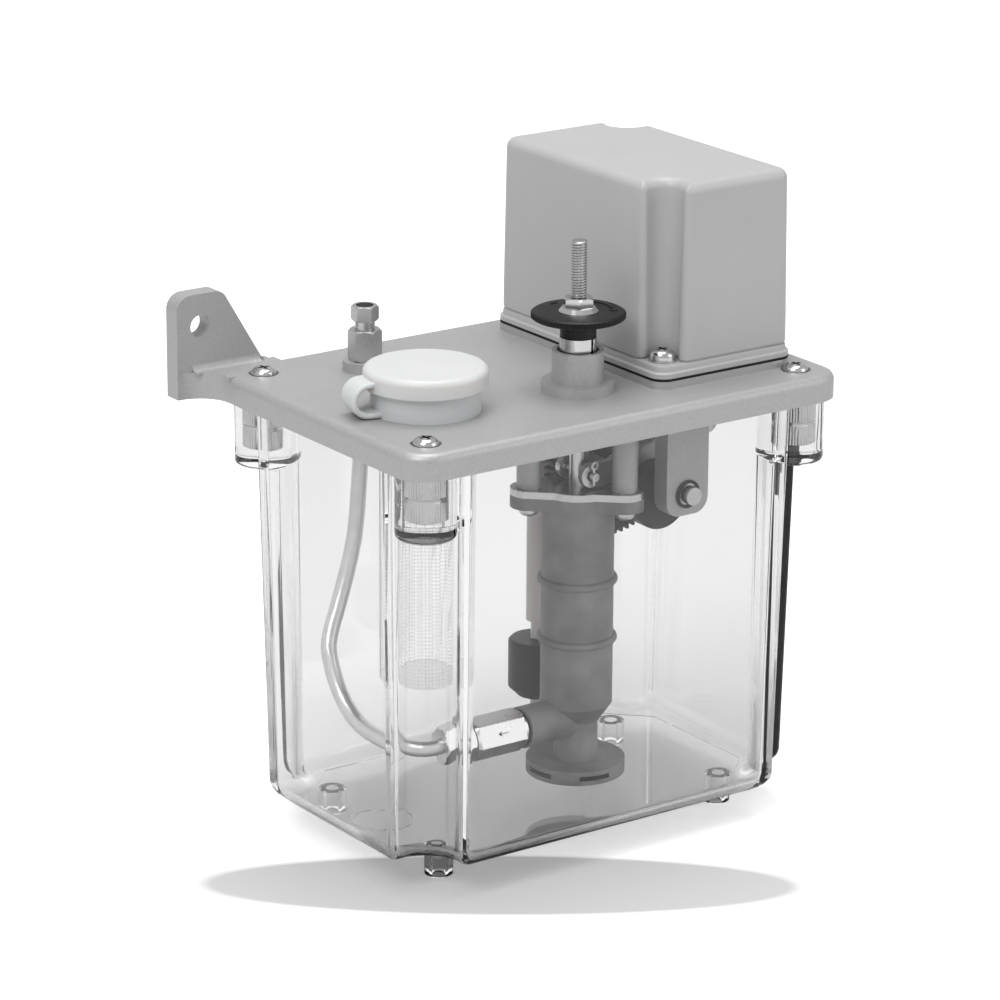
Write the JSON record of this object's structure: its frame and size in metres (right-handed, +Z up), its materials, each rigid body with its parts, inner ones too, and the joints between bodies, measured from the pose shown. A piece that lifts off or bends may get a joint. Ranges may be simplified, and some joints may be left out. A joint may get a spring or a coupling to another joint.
{
  "type": "oil dispensing pump",
  "caption": "Wall-mounted oil dispensing pump: clear tank, cast cover with motor housing, worm drive, lever piston pump, stroke knob and filler",
  "frame": {"origin": "on the floor plane of the feet, under the middle of the whole object's box", "axes": "+X to the right seen from the front, +Y to the wall, +Z up"},
  "size_m": [0.22, 0.1418, 0.2475],
  "materials": {
    "cast": "grey enamelled die casting, worn at the edges",
    "steel": "plain bright steel",
    "dark_steel": "dark oiled steel",
    "zinc": "dull plated fitting",
    "chrome": "bright plated",
    "housing": "grey moulding, satin",
    "mesh": "fine pale strainer mesh",
    "raw_cast": "bare grey casting, blasted",
    "black_plastic": "black moulding",
    "white_plastic": "natural moulding",
    "rubber": "black rubber",
    "clear": "clear moulded acrylic",
    "tube": "light oil pipe"
  },
  "bodies": {
    "reservoir": {"tank": "clear", "tank_inserts": "steel", "cover": "cast", "cover_gasket": "rubber", "cover_screws": "chrome", "filler_collar": "white_plastic", "cap_tether": "white_plastic", "filler_strainer": "mesh", "outlet_adaptor": "zinc", "outlet_nut": "zinc", "adaptor_nut": "zinc", "outlet_pipe": "tube", "pipe_nut": "zinc", "check_valve": "zinc", "check_ball": "chrome", "check_spring": "steel", "pump_cylinder": "raw_cast", "cylinder_plate": "steel", "pump_screws": "steel", "pump_washers": "steel", "suction_strainer": "raw_cast", "suction_ball": "chrome", "main_spring": "steel", "rod_bush": "black_plastic", "lever_pivot": "steel", "shaft_bushes": "zinc", "motor": "steel", "motor_screws": "steel", "motor_cover": "housing", "motor_gasket": "rubber", "motor_cover_screws": "chrome", "motor_cover_washers": "steel", "cable_gland": "black_plastic", "gland_nut": "black_plastic", "float_stem": "white_plastic", "float_clip": "steel"},
    "plunger": {"plunger_rod": "steel", "piston": "steel", "piston_seal": "rubber", "cross_pin": "steel", "split_pin": "steel", "split_sleeve": "chrome", "lock_nut": "chrome"},
    "knob": {"adjusting_knob": "black_plastic"},
    "lever": {"lever": "zinc"},
    "cam": {"camshaft": "steel", "eccentric": "dark_steel", "worm_wheel": "black_plastic"},
    "worm": {"worm_shaft": "steel"},
    "float": {"float": "black_plastic"},
    "cap": {"filler_cap": "white_plastic"}
  },
  "joints": [
    {"name": "camshaft_turn", "type": "hinge", "parent": "reservoir", "child": "cam", "pos_m": [0.0322, -0.04455, 0.1339], "axis": [0, 1, 0], "continuous": true},
    {"name": "worm_turn", "type": "hinge", "parent": "reservoir", "child": "worm", "pos_m": [0.0642, -0.0093, 0.1339], "axis": [0, 0, 1], "continuous": true},
    {"name": "plunger_slide", "type": "slide", "parent": "reservoir", "child": "plunger", "axis": [0, 0, 1], "range_m": [0, 0.008], "deforming": ["main_spring"]},
    {"name": "lever_rock", "type": "hinge", "parent": "reservoir", "child": "lever", "pos_m": [0.0515, -0.04095, 0.1547], "axis": [0, 1, 0], "range_deg": [-0.1, 9]},
    {"name": "knob_turn", "type": "hinge", "parent": "plunger", "child": "knob", "pos_m": [0, -0.03395, 0.2007], "axis": [0, 0, 1], "range_deg": [-180, 180]},
    {"name": "float_slide", "type": "slide", "parent": "reservoir", "child": "float", "axis": [0, 0, 1], "range_m": [0, 0.0065]},
    {"name": "cap_lift", "type": "slide", "parent": "reservoir", "child": "cap", "axis": [0, 0, 1], "range_m": [0, 0.008], "deforming": ["cap_tether"]}
  ],
  "couplings": [
    {"joint": "worm_turn", "follows": "camshaft_turn", "ratio": 60},
    {"joint": "lever_rock", "follows": "plunger_slide", "rad_per_m": 19.418}
  ]
}
